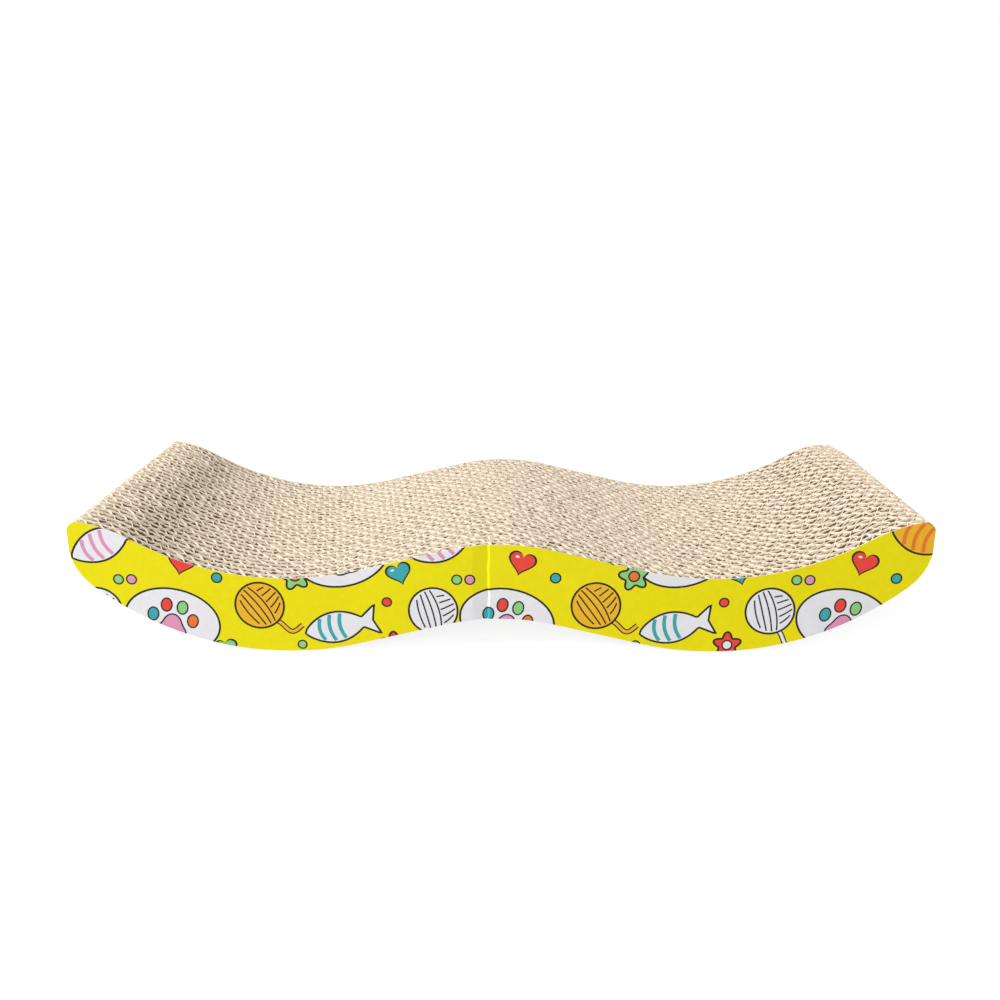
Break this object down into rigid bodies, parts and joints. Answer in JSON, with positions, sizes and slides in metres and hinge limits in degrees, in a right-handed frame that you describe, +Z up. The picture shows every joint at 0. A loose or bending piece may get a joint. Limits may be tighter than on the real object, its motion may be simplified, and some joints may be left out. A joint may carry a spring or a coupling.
{
  "type": "cardboard cat scratcher",
  "caption": "Double-wave cat scratcher of wave-cut corrugated strips glued on edge, with the open flutes as its scratching surface and a printed sheet on each flat side.",
  "frame": {"origin": "on the floor under the middle of the scratcher", "axes": "+X along the length, +Z up, and the front printed side faces -Y"},
  "size_m": [0.46, 0.1776, 0.0746],
  "materials": {
    "kraft_board": "uncoated kraft corrugated board with die-cut edges",
    "printed_paper": "offset-printed paper with a thin gloss varnish"
  },
  "bodies": {
    "root": {"core_strip_01": "kraft_board", "core_strip_02": "kraft_board", "core_strip_03": "kraft_board", "core_strip_04": "kraft_board", "core_strip_05": "kraft_board", "core_strip_06": "kraft_board", "core_strip_07": "kraft_board", "core_strip_08": "kraft_board", "core_strip_09": "kraft_board", "core_strip_10": "kraft_board", "core_strip_11": "kraft_board", "core_strip_12": "kraft_board", "core_strip_13": "kraft_board", "core_strip_14": "kraft_board", "core_strip_15": "kraft_board", "core_strip_16": "kraft_board", "front_side_board": "kraft_board", "rear_side_board": "kraft_board", "front_printed_sheet": "printed_paper", "rear_printed_sheet": "printed_paper"}
  },
  "joints": []
}
